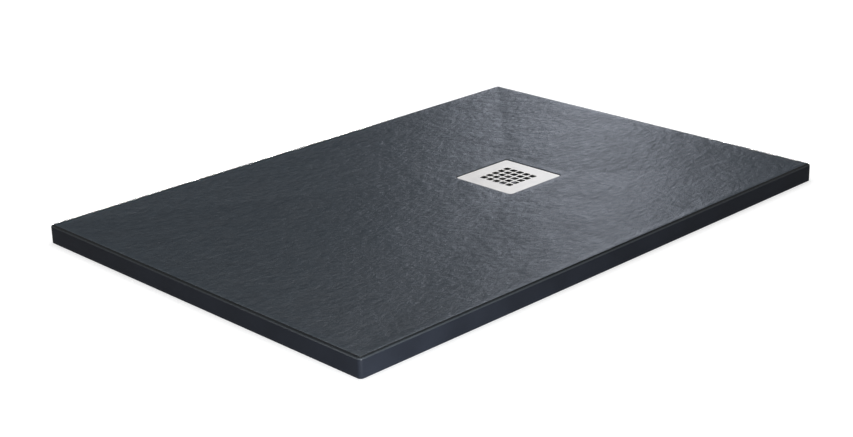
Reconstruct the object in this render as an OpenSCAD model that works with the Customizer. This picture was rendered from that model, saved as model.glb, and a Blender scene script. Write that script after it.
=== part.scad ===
// Low-profile shower tray with its grate and waste trap, in millimetres.
// The tray is a cast resin slab under a slate-effect gelcoat. Four planes fall from its rim to a
// square recess, where a grate covers a hair strainer. A flange clamps the trap to the tray
// through a round hole, and the trap's siphon insert lifts out for cleaning.
// The origin is the centre of the underside: +X runs along the length towards the waste,
// +Y to the back edge and +Z up.

/* [Tray] */
// Length of the tray
tray_length = 1000; // [800:10:1400]
// Width of the tray
tray_width = 700; // [600:10:1000]
// Height of the rim above the underside
tray_height = 30; // [28:0.5:45]
// Radius of the top arris and of the upright corners
edge_radius = 5; // [3:0.5:8]
// Level band between the arris and the falling planes
rim_land = 3; // [1:0.5:12]
// Fall of the planes from the rim to the edge of the recess
surface_fall = 12; // [6:0.5:13]
// Thickness of the slate-effect gelcoat
gelcoat_t = 0.8; // [0.5:0.1:1.2]
// Thickness of the glass-fibre backing
backing_t = 1; // [0.5:0.1:2]
// Diameter left free of backing, where the lower gasket seals on the resin
seal_land_d = 130; // [118:1:160]

/* [Waste recess] */
// Distance from the +X end to the centre of the waste
waste_inset = 350; // [150:5:500]
// Depth of the recess below the edge that the planes fall to
recess_depth = 8.5; // [8:0.25:11]
// Diameter of the hole through the floor of the recess
waste_hole_d = 90; // [89:0.5:96]

/* [Grate] */
// Side of the square grate
grate_side = 122; // [118:1:140]
// Thickness of the grate plate
grate_t = 1.25; // [1:0.25:2.5]
// Radius of the corners of the grate
grate_corner_r = 4.5; // [1:0.5:8]
// Gap between the grate and each wall of the recess
grate_gap = 1; // [0.5:0.25:2]
// Depth of the top of the grate below the edge of the recess
grate_drop = 1; // [0.5:0.25:1.5]
// Side of each square hole
hole_side = 11; // [6:0.25:11.5]
// Radius in the corners of each square hole
hole_corner_r = 2.5; // [0.5:0.25:2.75]
// Distance between the centres of neighbouring holes
hole_pitch = 14; // [12:0.1:15]
// Number of holes along each side
holes_per_side = 5; // [3:1:5]
// Distance from the edges of the grate to the centre of each foot
foot_inset = 11; // [9:0.5:13]
// Diameter of each rubber foot
foot_d = 12; // [9:0.5:14]
// Diameter of the studs that hold the feet
stud_d = 4; // [3:0.5:5]
// Rubber left under the end of each stud
foot_sole_t = 1.5; // [1:0.25:2]

/* [Waste flange] */
// Outer diameter of the flange
flange_d = 113; // [106:0.5:117]
// Thickness of the flange
flange_t = 2.5; // [2.25:0.25:3]
// Bevel round the top of the flange
flange_bevel = 0.8; // [0.4:0.1:1.5]
// Thickness of the gasket under the flange
upper_gasket_t = 1.5; // [1:0.25:2]
// Thickness of the gasket under the tray
lower_gasket_t = 2; // [1.5:0.25:3]

/* [Screws] */
// Diameter of the screw shanks
screw_d = 4; // [3.5:0.5:4.5]
// Diameter of the countersunk screw heads
screw_head_d = 8; // [7.5:0.5:8.5]
// Length of the screws over their heads
screw_length = 12; // [11:0.5:12.5]
// Number of screws round the flange
screw_count = 4; // [3:1:6]
// Outer diameter of the threaded inserts
insert_d = 5.6; // [5.4:0.1:6.4]
// Length of the threaded inserts
insert_length = 8; // [6:0.5:8]

/* [Strainer] */
// Depth of the strainer below the top of the flange
strainer_depth = 8; // [6:0.5:8.5]
// Thickness of the strainer's sheet
strainer_t = 0.8; // [0.5:0.1:1]
// Width of the strainer's rim on the flange
strainer_seat = 2.1; // [1.5:0.1:2.5]
// Diameter of the strainer's drain holes
drain_hole_d = 4.5; // [3:0.25:5]
// Diameter of the knob that lifts the strainer
knob_d = 14; // [10:0.5:14]

/* [Trap] */
// Bore that the siphon insert seals in
trap_bore_d = 64; // [60:0.5:66]
// Inner diameter of the chamber
chamber_d = 100; // [92:1:104]
// Wall of the chamber, the flange and the floor of the trap
trap_wall = 3; // [2:0.25:4]
// Distance from the edge of the flange in to the edge of the trap's flange
trap_flange_inset = 0.5; // [0:0.25:1]
// Wall of the ring that stands up through the hole
upstand_wall = 2.5; // [2:0.25:2.75]
// Outer diameter of the dip tube
dip_tube_d = 40; // [34:0.5:42]
// Wall of the dip tube and of the water cup
insert_wall = 2; // [1.5:0.25:2.5]
// Depth of the water seal, from the cup's rim to the end of the dip tube
water_seal = 50; // [30:1:60]
// Height that the water falls clear over the cup's rim
overflow_gap = 10; // [8:0.5:16]

/* [Outlet] */
// Outer diameter of the waste pipe
pipe_d = 40; // [32:1:40]
// Length of pipe that goes into the outlet
socket_length = 28; // [20:1:40]
// Height of the outlet's axis above the floor of the chamber
outlet_rise = 22; // [22:0.5:30]
// Wall of the outlet round the pipe
outlet_wall = 3.75; // [3.5:0.25:5]
// Wall of the nut round the outlet
nut_wall = 4; // [3:0.25:5]
// Number of grip ribs on the nut
nut_ribs = 12; // [6:1:16]

/* [Fits] */
// Clearance round the pipe in its socket
pipe_clearance = 0.25; // [0.1:0.05:0.4]
// Clearance between the siphon insert's collar and its bore
lift_clearance = 0.3; // [0.2:0.05:0.5]
// Clearance between the siphon insert's seal and its bore
seal_clearance = 0.05; // [0.02:0.01:0.1]
// Clearance between the nut and the outlet's thread
thread_clearance = 0.1; // [0.05:0.05:0.2]
// Clearance between the trap's bosses and the hole in the tray
hole_clearance = 1; // [0.5:0.25:1.5]

/* [Hidden] */
$fn = 96;
cut = 1;  // how far a cutting shape runs past the face that it cuts

// Places in plan
waste_x = tray_length / 2 - waste_inset;
rim_margin = edge_radius + rim_land;
recess_side = grate_side + 2 * grate_gap;
recess_corner_r = grate_corner_r + grate_gap;
waste_hole_r = waste_hole_d / 2;

// Levels of the tray, the grate and the flange
recess_edge_z = tray_height - surface_fall;
recess_floor_z = recess_edge_z - recess_depth;
grate_top_z = recess_edge_z - grate_drop;
grate_base_z = grate_top_z - grate_t;
flange_base_z = recess_floor_z + upper_gasket_t;
flange_top_z = flange_base_z + flange_t;

// Screws, in bosses that stand inside the hole
boss_r = 5;
boss_step = 1;              // drop from the top of the upstand to the bosses
clamp_gap = 4;              // air between the upstand and the flange
screw_hole_clearance = 0.15;
screw_slot = [4.4, 1, 1.8];
screw_slot_depth = 1.5;
screw_tip_bevel = 0.6;
screw_circle_r = waste_hole_r - hole_clearance - boss_r;
screw_head_h = (screw_head_d - screw_d) / 2;
upstand_top_z = flange_base_z - clamp_gap;
boss_top_z = upstand_top_z - boss_step;

// Gaskets, measured from the edges that they seal
gasket_hole_margin = 1;
upper_gasket_margin = 0.5;
lower_gasket_margin = 1;

// Strainer in the throat of the flange
bore_r = trap_bore_d / 2;
throat_margin = 0.5;        // flange's throat beyond the trap's bore
strainer_margin = 1;        // strainer's wall inside the trap's bore
throat_r = bore_r + throat_margin;
strainer_wall_r = bore_r - strainer_margin;
strainer_base_z = flange_top_z - strainer_depth;
strainer_floor_z = strainer_base_z + strainer_t;
drain_rows = 3;
drain_row_pitch = 8.2;
drain_first_row_r = 9.2;
knob_pin_r = 2.5;
knob_neck_r = 3;
knob_foot_r = 5;
knob_snap_r = 4.2;
knob_snap_h = 1.2;
knob_head_h = 2.6;
knob_head_cone = 0.6;
knob_bevel = 0.8;
knob_foot_h = 0.8;
knob_foot_cone = 1;
knob_sink = 0.3;            // drop from the rim of the strainer to the top of the knob

// Siphon insert, on a lip in the trap's bore
insert_headroom = 1.5;      // air between the insert and the strainer
collar_r = bore_r - lift_clearance;
collar_h = 6;
insert_top_z = strainer_base_z - insert_headroom;
insert_seat_z = insert_top_z - collar_h;
lip_width = 2;
lip_t = 2;
lip_r = bore_r - lip_width;
seal_h = 3;
seal_section = 2.8;
seal_bevel = 0.65;
seal_mid_z = insert_seat_z + collar_h / 2;
groove_r = collar_r - seal_section;
funnel_wall = 2.4;
funnel_drop = 6;            // height of the cone between the collar and the dip tube
dip_r = dip_tube_d / 2;
dip_bore_r = dip_r - insert_wall;
lift_bar = [3, 48, 5];      // bar across the funnel, to lift the insert by
lift_bar_drop = 1;          // bottom of the bar below the insert's seat

// Water cup round the dip tube
cup_margin = 1;             // cup inside the lip that it is lifted through
cup_r = lip_r - cup_margin;
cup_bore_r = cup_r - insert_wall;
cup_bevel = 2;
dip_end_gap = 6;            // water under the end of the dip tube
cup_floor_gap = 2;          // gap between the cup and the floor of the chamber
fin_count = 3;
fin_t = 2;
fin_end_margin = 5;         // distance from the fins' ends to the cup's rim and the dip tube's end

// Flange of the trap, under the flange that it is clamped by
trap_flange_d = flange_d - 2 * trap_flange_inset;

// Levels of the trap, from the seal land down
trap_top_z = backing_t - lower_gasket_t;
chamber_roof_z = trap_top_z - trap_wall;
cup_rim_z = chamber_roof_z - overflow_gap;
dip_end_z = cup_rim_z - water_seal;
cup_floor_z = dip_end_z - dip_end_gap;
cup_base_z = cup_floor_z - insert_wall;
sump_floor_z = cup_base_z - cup_floor_gap;
trap_base_z = sump_floor_z - trap_wall;
outlet_z = sump_floor_z + outlet_rise;

// Outlet, measured along X from the centre of the waste
chamber_r = chamber_d / 2;
chamber_outer_r = chamber_r + trap_wall;
chamber_foot_bevel = 4;
chamber_floor_bevel = 3;
socket_r = pipe_d / 2 + pipe_clearance;
socket_stop = 2.25;         // step that the pipe's end meets
passage_r = socket_r - socket_stop;
passage_lead = 10;          // start of the passage's bore inside the chamber
stop_gap = 3;               // distance from the chamber's wall to the step
passage_start_x = chamber_r - passage_lead;
socket_stop_x = chamber_outer_r + stop_gap;
seat_start_x = socket_stop_x + socket_length;
seat_length = 4;
outlet_end_x = seat_start_x + seat_length;
outlet_r = socket_r + outlet_wall;
mouth_wall = 1.25;
seat_r = outlet_r - mouth_wall;
seal_nose = 0.8;            // distance from the start of the seat to the nose of the cone seal
seal_bore_clearance = 0.1;
seal_proud = 2;             // part of the cone seal that stands out of its seat
seal_bore_r = pipe_d / 2 + seal_bore_clearance;
seal_end_x = outlet_end_x + seal_proud;
slip_ring_t = 1.5;
slip_ring_margin = 0.5;     // slip ring outside the cone seal
slip_ring_clearance = 0.1;
nut_shoulder_x = seal_end_x + slip_ring_t;
nut_face_t = 3;
nut_thread_length = 12;
nut_end_x = nut_shoulder_x + nut_face_t;
nut_start_x = outlet_end_x - nut_thread_length;
nut_bore_r = outlet_r + thread_clearance;
nut_r = nut_bore_r + nut_wall;
nut_bevel = 1;
nut_mouth_clearance = 0.2;
nut_mouth_r = socket_r + nut_mouth_clearance;
nut_rib = [2.3, 3];         // depth and width of a grip rib
nut_rib_sunk = 1;           // part of a rib's depth that is inside the nut
nut_rib_margin = 2;

// A quarter of a disc, in the first quadrant
module quarter_disc(r) {
    intersection() {
        circle(r);
        square(r);
    }
}

// A shape copied to the four quadrants
module in_four_quadrants() {
    for (mx = [0, 1], my = [0, 1])
        mirror([mx, 0, 0]) mirror([0, my, 0]) children();
}

// A rectangle with round corners, centred on the origin
module rounded_rect(length, width, r) {
    square([length - 2 * r, width], center = true);
    square([length, width - 2 * r], center = true);
    for (x = [-1, 1], y = [-1, 1])
        translate([x * (length / 2 - r), y * (width / 2 - r)]) circle(r);
}

// A slab with round upright corners and a round arris along its top edges
module soft_slab(length, width, height, r) {
    x = length / 2 - r;
    y = width / 2 - r;
    linear_extrude(height - r) rounded_rect(length, width, r);
    translate([0, 0, height - r]) {
        linear_extrude(r) square([2 * x, 2 * y], center = true);
        for (side = [0, 1]) {
            mirror([0, side, 0])
                translate([-x, y, 0]) rotate([90, 0, 90]) linear_extrude(2 * x) quarter_disc(r);
            mirror([side, 0, 0])
                translate([x, y, 0]) rotate([90, 0, 0]) linear_extrude(2 * y) quarter_disc(r);
        }
        in_four_quadrants()
            translate([x, y, 0]) rotate_extrude(angle = 90) quarter_disc(r);
    }
}

// The half space above one falling plane, in the direction `turn` from the waste. The plane
// starts at the rim, `rim` away, and reaches the edge of the recess after `surface_fall`.
module above_plane(turn, rim) {
    slope = atan(surface_fall / (rim - recess_side / 2));
    reach = 3 * (tray_length + tray_width);
    rotate([0, 0, turn])
        translate([rim, 0, tray_height]) rotate([0, -slope, 0])
            translate([cut - reach, -reach / 2, 0]) cube([reach, reach, tray_height * 4]);
}

// The space above the four planes, lowered by `depth`
module fall_space(depth) {
    rim_x = tray_length / 2 - rim_margin;
    rim_y = tray_width / 2 - rim_margin;
    translate([waste_x, 0, -depth])
        intersection() {
            above_plane(0, rim_x - waste_x);
            above_plane(90, rim_y);
            above_plane(180, rim_x + waste_x);
            above_plane(270, rim_y);
        }
}

// The recess and the waste hole, with the recess grown by `depth`
module waste_cut(depth) {
    translate([waste_x, 0, recess_floor_z - depth])
        linear_extrude(tray_height)
            rounded_rect(recess_side + 2 * depth, recess_side + 2 * depth, recess_corner_r + depth);
    translate([waste_x, 0, -2 * cut]) cylinder(r = waste_hole_r, h = tray_height);
}

// The tray's form, `depth` below its finished faces, standing on `base`
module tray_form(depth, base) {
    difference() {
        translate([0, 0, base])
            soft_slab(tray_length - 2 * depth, tray_width - 2 * depth,
                      tray_height - depth - base, edge_radius - depth);
        fall_space(depth);
        waste_cut(depth);
    }
}

// A ring of rectangular section, standing on z = 0
module ring(outer_r, inner_r, height) {
    difference() {
        cylinder(r = outer_r, h = height);
        translate([0, 0, -cut]) cylinder(r = inner_r, h = height + 2 * cut);
    }
}

// Copies a shape to each screw's place
module at_screws() {
    for (i = [0 : screw_count - 1])
        rotate([0, 0, 45 + i * 360 / screw_count]) translate([screw_circle_r, 0, 0]) children();
}

// Copies a shape to each foot's place
module at_feet() {
    place = grate_side / 2 - foot_inset;
    translate([waste_x, 0, 0]) in_four_quadrants() translate([place, place, 0]) children();
}

// Turns a shape made about Z so that it lies along the outlet
module along_outlet() {
    translate([waste_x, 0, outlet_z]) rotate([0, 90, 0]) children();
}

// ---- Tray ----

module gelcoat_skin() {
    color("#3b4047") difference() {
        tray_form(0, 0);
        tray_form(gelcoat_t, -cut);
    }
}

module resin_core() {
    color("#4a4d50") tray_form(gelcoat_t, backing_t);
}

module fibreglass_backing() {
    color("#a9ad8c") linear_extrude(backing_t)
        difference() {
            rounded_rect(tray_length - 2 * gelcoat_t, tray_width - 2 * gelcoat_t,
                         edge_radius - gelcoat_t);
            translate([waste_x, 0]) circle(d = seal_land_d);
        }
}

// ---- Grate ----

module grate_plate() {
    middle = (holes_per_side - 1) / 2;
    color("#ebe8e4") translate([waste_x, 0, grate_base_z]) linear_extrude(grate_t)
        difference() {
            rounded_rect(grate_side, grate_side, grate_corner_r);
            for (i = [0 : holes_per_side - 1], j = [0 : holes_per_side - 1])
                translate([(i - middle) * hole_pitch, (j - middle) * hole_pitch])
                    rounded_rect(hole_side, hole_side, hole_corner_r);
        }
}

module stud_shape() {
    translate([0, 0, recess_floor_z + foot_sole_t])
        cylinder(d = stud_d, h = grate_base_z - recess_floor_z - foot_sole_t);
}

module grate_studs() {
    color("#c9c9c9") at_feet() stud_shape();
}

module grate_feet() {
    foot_h = grate_base_z - recess_floor_z;
    bevel = 0.8;
    r = foot_d / 2;
    color("#1d1d1f") at_feet() difference() {
        translate([0, 0, recess_floor_z])
            rotate_extrude() polygon([[0, 0], [r - bevel, 0], [r, bevel], [r, foot_h], [0, foot_h]]);
        stud_shape();
    }
}

// ---- Hair strainer ----

module strainer_basket() {
    rim_r = throat_r + strainer_seat;
    inner_r = strainer_wall_r - strainer_t;
    rim_z = flange_top_z + strainer_t;
    color("#c4c6c8") translate([waste_x, 0, 0]) difference() {
        rotate_extrude() polygon([
            [0, strainer_base_z], [strainer_wall_r, strainer_base_z],
            [strainer_wall_r, flange_top_z], [rim_r, flange_top_z], [rim_r, rim_z],
            [inner_r, rim_z], [inner_r, strainer_floor_z], [0, strainer_floor_z]
        ]);
        translate([0, 0, strainer_base_z - cut]) {
            cylinder(r = knob_pin_r, h = strainer_t + 2 * cut);
            for (row = [0 : drain_rows - 1], i = [0 : 6 * row + 5])
                rotate([0, 0, i * 60 / (row + 1)])
                    translate([drain_first_row_r + row * drain_row_pitch, 0, 0])
                        cylinder(d = drain_hole_d, h = strainer_t + 2 * cut);
        }
    }
}

module strainer_knob() {
    top_z = flange_top_z + strainer_t - knob_sink;
    head_z = top_z - knob_head_h;
    foot_top_z = strainer_floor_z + knob_foot_h;
    r = knob_d / 2;
    color("#55585c") translate([waste_x, 0, 0])
        rotate_extrude() polygon([
            [0, strainer_base_z - knob_snap_h], [knob_neck_r, strainer_base_z - knob_snap_h],
            [knob_snap_r, strainer_base_z - knob_snap_h / 3], [knob_snap_r, strainer_base_z],
            [knob_pin_r, strainer_base_z], [knob_pin_r, strainer_floor_z],
            [knob_foot_r, strainer_floor_z], [knob_foot_r, foot_top_z],
            [knob_neck_r, foot_top_z + knob_foot_cone], [knob_neck_r, head_z - knob_head_cone],
            [r - knob_bevel, head_z], [r, head_z + knob_bevel], [r, top_z - knob_bevel],
            [r - knob_bevel, top_z], [0, top_z]
        ]);
}

// ---- Waste flange and its fasteners ----

module waste_flange() {
    r = flange_d / 2;
    color("#c4c6c8") translate([waste_x, 0, flange_base_z]) difference() {
        rotate_extrude() polygon([
            [throat_r, 0], [r, 0], [r, flange_t - flange_bevel], [r - flange_bevel, flange_t],
            [throat_r, flange_t]
        ]);
        at_screws() {
            translate([0, 0, -cut])
                cylinder(r = screw_d / 2 + screw_hole_clearance, h = flange_t + 2 * cut);
            translate([0, 0, flange_t - screw_head_h])
                cylinder(r1 = screw_d / 2, r2 = screw_head_d / 2, h = screw_head_h);
        }
    }
}

module flange_screws() {
    shank_r = screw_d / 2;
    head_r = screw_head_d / 2;
    tip_r = shank_r - screw_tip_bevel;
    color("#b7b9bb") translate([waste_x, 0, flange_top_z]) at_screws()
        difference() {
            rotate_extrude() polygon([
                [0, -screw_length], [tip_r, -screw_length], [shank_r, screw_tip_bevel - screw_length],
                [shank_r, -screw_head_h], [head_r, 0], [0, 0]
            ]);
            for (turn = [0, 90])
                rotate([0, 0, turn]) translate([0, 0, screw_slot.z / 2 - screw_slot_depth])
                    cube(screw_slot, center = true);
        }
}

module upper_gasket() {
    color("#1d1d1f") translate([waste_x, 0, recess_floor_z])
        ring(flange_d / 2 - upper_gasket_margin, waste_hole_r + gasket_hole_margin, upper_gasket_t);
}

module lower_gasket() {
    color("#1d1d1f") translate([waste_x, 0, trap_top_z])
        ring(trap_flange_d / 2 - lower_gasket_margin, waste_hole_r + gasket_hole_margin,
             lower_gasket_t);
}

// ---- Trap ----

// The chamber with its roof, the flange under the tray and the ring that stands up in the hole
module chamber_shell() {
    upstand_r = bore_r + upstand_wall;
    flange_r = trap_flange_d / 2;
    rotate_extrude() polygon([
        [0, trap_base_z], [chamber_outer_r - chamber_foot_bevel, trap_base_z],
        [chamber_outer_r, trap_base_z + chamber_foot_bevel], [chamber_outer_r, chamber_roof_z],
        [flange_r, chamber_roof_z], [flange_r, trap_top_z], [upstand_r, trap_top_z],
        [upstand_r, upstand_top_z], [bore_r, upstand_top_z], [bore_r, chamber_roof_z],
        [chamber_r, chamber_roof_z], [chamber_r, sump_floor_z + chamber_floor_bevel],
        [chamber_r - chamber_floor_bevel, sump_floor_z], [0, sump_floor_z]
    ]);
}

// The outlet's tube, from the chamber's inner wall outwards
module outlet_tube() {
    difference() {
        along_outlet() cylinder(r = outlet_r, h = outlet_end_x);
        translate([waste_x, 0, trap_base_z])
            cylinder(r = chamber_r, h = chamber_roof_z - trap_base_z);
    }
}

// The passage, the pipe's socket and the seat of the cone seal
module outlet_bores() {
    along_outlet() {
        translate([0, 0, passage_start_x])
            cylinder(r = passage_r, h = socket_stop_x + cut - passage_start_x);
        translate([0, 0, socket_stop_x]) cylinder(r = socket_r, h = socket_length + cut);
        translate([0, 0, seat_start_x]) cylinder(r1 = socket_r, r2 = seat_r, h = seat_length);
    }
}

module trap_body() {
    color("#8d9196") difference() {
        union() {
            translate([waste_x, 0, 0]) {
                chamber_shell();
                translate([0, 0, insert_seat_z - lip_t])
                    ring(bore_r + upstand_wall / 2, lip_r, lip_t);
                at_screws() translate([0, 0, chamber_roof_z])
                    cylinder(r = boss_r, h = boss_top_z - chamber_roof_z);
            }
            outlet_tube();
        }
        translate([waste_x, 0, boss_top_z - insert_length])
            at_screws() cylinder(d = insert_d, h = insert_length + cut);
        outlet_bores();
    }
}

module threaded_inserts() {
    color("#b08d4c") translate([waste_x, 0, boss_top_z - insert_length])
        at_screws() ring(insert_d / 2, screw_d / 2, insert_length);
}

// ---- Siphon insert ----

module dip_tube() {
    groove_top_z = seal_mid_z + seal_h / 2;
    groove_base_z = seal_mid_z - seal_h / 2;
    color("#d5d8da") translate([waste_x, 0, 0]) {
        rotate_extrude() polygon([
            [groove_r - funnel_wall, insert_top_z], [collar_r, insert_top_z],
            [collar_r, groove_top_z], [groove_r, groove_top_z], [groove_r, groove_base_z],
            [collar_r, groove_base_z], [collar_r, insert_seat_z], [cup_r, insert_seat_z],
            [dip_r, insert_seat_z - funnel_drop], [dip_r, dip_end_z], [dip_bore_r, dip_end_z],
            [dip_bore_r, insert_seat_z - funnel_drop / 2]
        ]);
        translate([-lift_bar.x / 2, -lift_bar.y / 2, insert_seat_z - lift_bar_drop]) cube(lift_bar);
    }
}

module dip_tube_seal() {
    outer_r = bore_r - seal_clearance;
    h = seal_h / 2;
    color("#1d1d1f") translate([waste_x, 0, seal_mid_z])
        rotate_extrude() polygon([
            [groove_r, -h], [outer_r - seal_bevel, -h], [outer_r, seal_bevel - h],
            [outer_r, h - seal_bevel], [outer_r - seal_bevel, h], [groove_r, h]
        ]);
}

module water_cup() {
    fin_base_z = dip_end_z + fin_end_margin;
    fin_h = cup_rim_z - fin_end_margin - fin_base_z;
    color("#d5d8da") translate([waste_x, 0, 0]) {
        rotate_extrude() polygon([
            [0, cup_base_z], [cup_r - cup_bevel, cup_base_z], [cup_r, cup_base_z + cup_bevel],
            [cup_r, cup_rim_z], [cup_bore_r, cup_rim_z], [cup_bore_r, cup_floor_z],
            [0, cup_floor_z]
        ]);
        difference() {
            for (i = [0 : fin_count - 1])
                rotate([0, 0, 30 + i * 360 / fin_count]) translate([0, -fin_t / 2, fin_base_z])
                    cube([cup_bore_r + insert_wall / 2, fin_t, fin_h]);
            translate([0, 0, fin_base_z - cut]) cylinder(r = dip_r, h = fin_h + 2 * cut);
        }
    }
}

// ---- Outlet ----

module outlet_cone_seal() {
    nose_r = socket_r + (seat_r - socket_r) * seal_nose / seat_length;
    nose_x = seat_start_x + seal_nose;
    color("#1d1d1f") along_outlet() rotate_extrude() polygon([
        [seal_bore_r, nose_x], [nose_r, nose_x], [seat_r, outlet_end_x], [seat_r, seal_end_x],
        [seal_bore_r, seal_end_x]
    ]);
}

module outlet_slip_ring() {
    color("#d5d8da") along_outlet() translate([0, 0, seal_end_x])
        ring(seat_r + slip_ring_margin, socket_r + slip_ring_clearance, slip_ring_t);
}

module outlet_nut() {
    color("#55585c") along_outlet() {
        rotate_extrude() polygon([
            [nut_bore_r, nut_start_x], [nut_r - nut_bevel, nut_start_x],
            [nut_r, nut_start_x + nut_bevel], [nut_r, nut_end_x - nut_bevel],
            [nut_r - nut_bevel, nut_end_x], [nut_mouth_r, nut_end_x],
            [nut_mouth_r, nut_shoulder_x], [nut_bore_r, nut_shoulder_x]
        ]);
        for (i = [0 : nut_ribs - 1])
            rotate([0, 0, i * 360 / nut_ribs])
                translate([nut_r - nut_rib_sunk, -nut_rib.y / 2, nut_start_x + nut_rib_margin])
                    cube([nut_rib.x, nut_rib.y, nut_end_x - nut_start_x - 2 * nut_rib_margin]);
    }
}

gelcoat_skin();
resin_core();
fibreglass_backing();
grate_plate();
grate_studs();
grate_feet();
strainer_basket();
strainer_knob();
waste_flange();
flange_screws();
upper_gasket();
lower_gasket();
trap_body();
threaded_inserts();
dip_tube();
dip_tube_seal();
water_cup();
outlet_cone_seal();
outlet_slip_ring();
outlet_nut();
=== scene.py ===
"""Finish of the slate-effect shower tray: its relief, its edges and its materials.

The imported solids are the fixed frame. Pieces that need more form than the solids have, such as
the slate face and the pressed grate, are surfaces worked out with numpy in the same place.
Lengths in the settings are metres. Sizes that repeat the solids are taken from their boxes.
"""

import math

import bmesh
import bpy
import numpy as np
from bpy.props import FloatProperty, FloatVectorProperty, IntProperty, PointerProperty
from mathutils import Matrix, Vector


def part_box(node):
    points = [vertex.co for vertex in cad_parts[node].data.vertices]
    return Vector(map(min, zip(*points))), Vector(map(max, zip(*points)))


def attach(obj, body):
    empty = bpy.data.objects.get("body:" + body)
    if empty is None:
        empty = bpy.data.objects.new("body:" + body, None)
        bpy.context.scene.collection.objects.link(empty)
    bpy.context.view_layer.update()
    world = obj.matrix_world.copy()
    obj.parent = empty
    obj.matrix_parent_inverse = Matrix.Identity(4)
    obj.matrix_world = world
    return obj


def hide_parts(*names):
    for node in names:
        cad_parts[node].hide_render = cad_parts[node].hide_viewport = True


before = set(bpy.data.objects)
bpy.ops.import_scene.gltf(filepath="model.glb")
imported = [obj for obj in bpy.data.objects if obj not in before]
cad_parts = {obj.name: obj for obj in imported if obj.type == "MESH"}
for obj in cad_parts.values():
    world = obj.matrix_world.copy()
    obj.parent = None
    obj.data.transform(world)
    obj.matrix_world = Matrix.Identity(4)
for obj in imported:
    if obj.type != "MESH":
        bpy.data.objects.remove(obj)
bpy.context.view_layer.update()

bl_info = {
    "name": "Slate shower tray",
    "version": (1, 0, 0),
    "blender": (4, 5, 0),
    "location": "View3D > Sidebar > Tray",
    "description": "Builds the finished pieces of a slate-effect shower tray with its waste",
    "category": "Object",
}

MM = 0.001
SHARP = math.radians(35)
SAME_PLACE = 1e-6

# Places that the solids give, in metres
GRATE_LOW, GRATE_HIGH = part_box("grate_plate")
WASTE_X = (GRATE_LOW.x + GRATE_HIGH.x) / 2
HALF_LENGTH, HALF_WIDTH, RIM_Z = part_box("gelcoat_skin")[1]
SKIN = HALF_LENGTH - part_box("resin_core")[1].x
RECESS_FLOOR_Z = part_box("upper_gasket")[0].z


# ---- Noise ----

def slope_noise(x, y, seed):
    """Gradient noise of a plane, from about -1 to 1. Each corner of the unit lattice has a unit
    slope in a direction hashed from its place; at a point the four slopes' heights are blended
    by the fade 6t^5 - 15t^4 + 10t^3."""
    cell_x, cell_y = np.floor(x), np.floor(y)
    across, up = x - cell_x, y - cell_y

    def corner(step_x, step_y):
        column = (cell_x + step_x).astype(np.int64)
        row = (cell_y + step_y).astype(np.int64)
        mixed = (column * 374761393 + row * 668265263 + seed * 974711) & 0xFFFFFFFF
        mixed = ((mixed ^ (mixed >> 13)) * 1274126177) & 0xFFFFFFFF
        turn = ((mixed ^ (mixed >> 16)) & 0xFFFF) * (2 * math.pi / 65536)
        return np.cos(turn) * (across - step_x) + np.sin(turn) * (up - step_y)

    fade_x = across**3 * (across * (6 * across - 15) + 10)
    fade_y = up**3 * (up * (6 * up - 15) + 10)
    near = corner(0, 0) * (1 - fade_x) + corner(1, 0) * fade_x
    far = corner(0, 1) * (1 - fade_x) + corner(1, 1) * fade_x
    return 1.5 * (near * (1 - fade_y) + far * fade_y)


def soft_step(x, low, high):
    """0 below low, 1 above high and 3t^2 - 2t^3 between them."""
    t = np.clip((x - low) / (high - low), 0, 1)
    return t * t * (3 - 2 * t)


# ---- Meshes ----

def placed(name, data):
    """A new object of the scene that shows the data."""
    made = bpy.data.objects.new(name, data)
    bpy.context.scene.collection.objects.link(made)
    return made


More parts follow.
